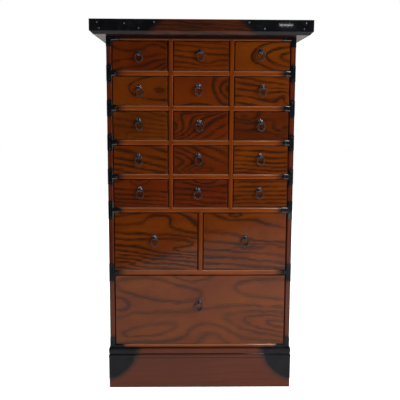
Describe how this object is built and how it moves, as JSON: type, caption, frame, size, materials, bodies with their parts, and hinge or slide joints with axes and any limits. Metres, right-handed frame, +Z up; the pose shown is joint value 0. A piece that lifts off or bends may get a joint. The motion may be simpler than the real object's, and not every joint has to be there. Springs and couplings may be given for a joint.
{
  "type": "apothecary cabinet",
  "caption": "Narrow stained-wood apothecary chest with small, medium and large drawers on ring pulls, an overhanging top, a moulded plinth and black iron corner fittings.",
  "frame": {"origin": "on the floor, under the middle of the overall box", "axes": "+Z up, the drawer fronts face -Y, +X is to the right of someone facing the fronts"},
  "size_m": [0.515, 0.4, 0.9],
  "materials": {
    "case_wood": "open-grained ash or elm stained dark red-brown under glossy lacquer",
    "drawer_wood": "figured ash or elm stained red-brown under glossy lacquer; plain wood inside",
    "top_wood": "dark red-brown stain under glossy lacquer",
    "inner_wood": "plain unstained softwood and plywood, matt",
    "fitting_iron": "blackened sheet iron, satin",
    "ring_iron": "blackened wrought iron wire, satin"
  },
  "bodies": {
    "case": {"top_board": "top_wood", "side_panel_left": "case_wood", "side_panel_right": "case_wood", "back_panel": "inner_wood", "case_top": "case_wood", "bottom_rail": "case_wood", "bottom_board": "inner_wood", "shelf_1": "case_wood", "shelf_2": "case_wood", "shelf_3": "case_wood", "shelf_4": "case_wood", "shelf_5": "case_wood", "shelf_6": "case_wood", "partition_left": "case_wood", "partition_right": "case_wood", "partition_centre": "case_wood", "plinth_front": "case_wood", "plinth_left": "case_wood", "plinth_right": "case_wood", "plinth_back": "inner_wood", "top_iron_left": "fitting_iron", "top_iron_right": "fitting_iron", "plinth_iron_left": "fitting_iron", "plinth_iron_right": "fitting_iron"},
    "small_drawer_1_left": {"small_drawer_1_left": "drawer_wood"},
    "ring_1_left": {"ring_1_left": "ring_iron"},
    "small_drawer_1_centre": {"small_drawer_1_centre": "drawer_wood"},
    "ring_1_centre": {"ring_1_centre": "ring_iron"},
    "small_drawer_1_right": {"small_drawer_1_right": "drawer_wood"},
    "ring_1_right": {"ring_1_right": "ring_iron"},
    "small_drawer_2_left": {"small_drawer_2_left": "drawer_wood"},
    "ring_2_left": {"ring_2_left": "ring_iron"},
    "small_drawer_2_centre": {"small_drawer_2_centre": "drawer_wood"},
    "ring_2_centre": {"ring_2_centre": "ring_iron"},
    "small_drawer_2_right": {"small_drawer_2_right": "drawer_wood"},
    "ring_2_right": {"ring_2_right": "ring_iron"},
    "small_drawer_3_left": {"small_drawer_3_left": "drawer_wood"},
    "ring_3_left": {"ring_3_left": "ring_iron"},
    "small_drawer_3_centre": {"small_drawer_3_centre": "drawer_wood"},
    "ring_3_centre": {"ring_3_centre": "ring_iron"},
    "small_drawer_3_right": {"small_drawer_3_right": "drawer_wood"},
    "ring_3_right": {"ring_3_right": "ring_iron"},
    "small_drawer_4_left": {"small_drawer_4_left": "drawer_wood"},
    "ring_4_left": {"ring_4_left": "ring_iron"},
    "small_drawer_4_centre": {"small_drawer_4_centre": "drawer_wood"},
    "ring_4_centre": {"ring_4_centre": "ring_iron"},
    "small_drawer_4_right": {"small_drawer_4_right": "drawer_wood"},
    "ring_4_right": {"ring_4_right": "ring_iron"},
    "small_drawer_5_left": {"small_drawer_5_left": "drawer_wood"},
    "ring_5_left": {"ring_5_left": "ring_iron"},
    "small_drawer_5_centre": {"small_drawer_5_centre": "drawer_wood"},
    "ring_5_centre": {"ring_5_centre": "ring_iron"},
    "small_drawer_5_right": {"small_drawer_5_right": "drawer_wood"},
    "ring_5_right": {"ring_5_right": "ring_iron"},
    "medium_drawer_left": {"medium_drawer_left": "drawer_wood"},
    "ring_medium_left": {"ring_medium_left": "ring_iron"},
    "medium_drawer_right": {"medium_drawer_right": "drawer_wood"},
    "ring_medium_right": {"ring_medium_right": "ring_iron"},
    "large_drawer": {"large_drawer": "drawer_wood"},
    "ring_large": {"ring_large": "ring_iron"}
  },
  "joints": [
    {"name": "slide_1_left", "type": "slide", "parent": "case", "child": "small_drawer_1_left", "axis": [0, -1, 0], "range_m": [0, 0.21]},
    {"name": "swing_1_left", "type": "hinge", "parent": "small_drawer_1_left", "child": "ring_1_left", "pos_m": [-0.148, -0.1625, 0.82575], "axis": [-1, 0, 0], "range_deg": [-18, 195]},
    {"name": "slide_1_centre", "type": "slide", "parent": "case", "child": "small_drawer_1_centre", "axis": [0, -1, 0], "range_m": [0, 0.21]},
    {"name": "swing_1_centre", "type": "hinge", "parent": "small_drawer_1_centre", "child": "ring_1_centre", "pos_m": [-0.002, -0.1625, 0.83025], "axis": [-1, 0, 0], "range_deg": [-18, 195]},
    {"name": "slide_1_right", "type": "slide", "parent": "case", "child": "small_drawer_1_right", "axis": [0, -1, 0], "range_m": [0, 0.21]},
    {"name": "swing_1_right", "type": "hinge", "parent": "small_drawer_1_right", "child": "ring_1_right", "pos_m": [0.141, -0.1625, 0.83125], "axis": [-1, 0, 0], "range_deg": [-18, 195]},
    {"name": "slide_2_left", "type": "slide", "parent": "case", "child": "small_drawer_2_left", "axis": [0, -1, 0], "range_m": [0, 0.21]},
    {"name": "swing_2_left", "type": "hinge", "parent": "small_drawer_2_left", "child": "ring_2_left", "pos_m": [-0.147, -0.1625, 0.74475], "axis": [-1, 0, 0], "range_deg": [-18, 195]},
    {"name": "slide_2_centre", "type": "slide", "parent": "case", "child": "small_drawer_2_centre", "axis": [0, -1, 0], "range_m": [0, 0.21]},
    {"name": "swing_2_centre", "type": "hinge", "parent": "small_drawer_2_centre", "child": "ring_2_centre", "pos_m": [-0.0065, -0.1625, 0.74875], "axis": [-1, 0, 0], "range_deg": [-18, 195]},
    {"name": "slide_2_right", "type": "slide", "parent": "case", "child": "small_drawer_2_right", "axis": [0, -1, 0], "range_m": [0, 0.21]},
    {"name": "swing_2_right", "type": "hinge", "parent": "small_drawer_2_right", "child": "ring_2_right", "pos_m": [0.1455, -0.1625, 0.74825], "axis": [-1, 0, 0], "range_deg": [-18, 195]},
    {"name": "slide_3_left", "type": "slide", "parent": "case", "child": "small_drawer_3_left", "axis": [0, -1, 0], "range_m": [0, 0.21]},
    {"name": "swing_3_left", "type": "hinge", "parent": "small_drawer_3_left", "child": "ring_3_left", "pos_m": [-0.1485, -0.1625, 0.66675], "axis": [-1, 0, 0], "range_deg": [-18, 195]},
    {"name": "slide_3_centre", "type": "slide", "parent": "case", "child": "small_drawer_3_centre", "axis": [0, -1, 0], "range_m": [0, 0.21]},
    {"name": "swing_3_centre", "type": "hinge", "parent": "small_drawer_3_centre", "child": "ring_3_centre", "pos_m": [-0.004, -0.1625, 0.66375], "axis": [-1, 0, 0], "range_deg": [-18, 195]},
    {"name": "slide_3_right", "type": "slide", "parent": "case", "child": "small_drawer_3_right", "axis": [0, -1, 0], "range_m": [0, 0.21]},
    {"name": "swing_3_right", "type": "hinge", "parent": "small_drawer_3_right", "child": "ring_3_right", "pos_m": [0.143, -0.1625, 0.66525], "axis": [-1, 0, 0], "range_deg": [-18, 195]},
    {"name": "slide_4_left", "type": "slide", "parent": "case", "child": "small_drawer_4_left", "axis": [0, -1, 0], "range_m": [0, 0.21]},
    {"name": "swing_4_left", "type": "hinge", "parent": "small_drawer_4_left", "child": "ring_4_left", "pos_m": [-0.15, -0.1625, 0.58275], "axis": [-1, 0, 0], "range_deg": [-18, 195]},
    {"name": "slide_4_centre", "type": "slide", "parent": "case", "child": "small_drawer_4_centre", "axis": [0, -1, 0], "range_m": [0, 0.21]},
    {"name": "swing_4_centre", "type": "hinge", "parent": "small_drawer_4_centre", "child": "ring_4_centre", "pos_m": [-0.006, -0.1625, 0.58425], "axis": [-1, 0, 0], "range_deg": [-18, 195]},
    {"name": "slide_4_right", "type": "slide", "parent": "case", "child": "small_drawer_4_right", "axis": [0, -1, 0], "range_m": [0, 0.21]},
    {"name": "swing_4_right", "type": "hinge", "parent": "small_drawer_4_right", "child": "ring_4_right", "pos_m": [0.143, -0.1625, 0.58375], "axis": [-1, 0, 0], "range_deg": [-18, 195]},
    {"name": "slide_5_left", "type": "slide", "parent": "case", "child": "small_drawer_5_left", "axis": [0, -1, 0], "range_m": [0, 0.21]},
    {"name": "swing_5_left", "type": "hinge", "parent": "small_drawer_5_left", "child": "ring_5_left", "pos_m": [-0.1475, -0.1625, 0.50275], "axis": [-1, 0, 0], "range_deg": [-18, 195]},
    {"name": "slide_5_centre", "type": "slide", "parent": "case", "child": "small_drawer_5_centre", "axis": [0, -1, 0], "range_m": [0, 0.21]},
    {"name": "swing_5_centre", "type": "hinge", "parent": "small_drawer_5_centre", "child": "ring_5_centre", "pos_m": [-0.007, -0.1625, 0.50075], "axis": [-1, 0, 0], "range_deg": [-18, 195]},
    {"name": "slide_5_right", "type": "slide", "parent": "case", "child": "small_drawer_5_right", "axis": [0, -1, 0], "range_m": [0, 0.21]},
    {"name": "swing_5_right", "type": "hinge", "parent": "small_drawer_5_right", "child": "ring_5_right", "pos_m": [0.142, -0.1625, 0.50175], "axis": [-1, 0, 0], "range_deg": [-18, 195]},
    {"name": "slide_medium_left", "type": "slide", "parent": "case", "child": "medium_drawer_left", "axis": [0, -1, 0], "range_m": [0, 0.21]},
    {"name": "swing_medium_left", "type": "hinge", "parent": "medium_drawer_left", "child": "ring_medium_left", "pos_m": [-0.11275, -0.1625, 0.38325], "axis": [-1, 0, 0], "range_deg": [-18, 195]},
    {"name": "slide_medium_right", "type": "slide", "parent": "case", "child": "medium_drawer_right", "axis": [0, -1, 0], "range_m": [0, 0.21]},
    {"name": "swing_medium_right", "type": "hinge", "parent": "medium_drawer_right", "child": "ring_medium_right", "pos_m": [0.10925, -0.1625, 0.38325], "axis": [-1, 0, 0], "range_deg": [-18, 195]},
    {"name": "slide_large", "type": "slide", "parent": "case", "child": "large_drawer", "axis": [0, -1, 0], "range_m": [0, 0.21]},
    {"name": "swing_large", "type": "hinge", "parent": "large_drawer", "child": "ring_large", "pos_m": [-0.003, -0.1625, 0.22], "axis": [-1, 0, 0], "range_deg": [-18, 195]}
  ]
}
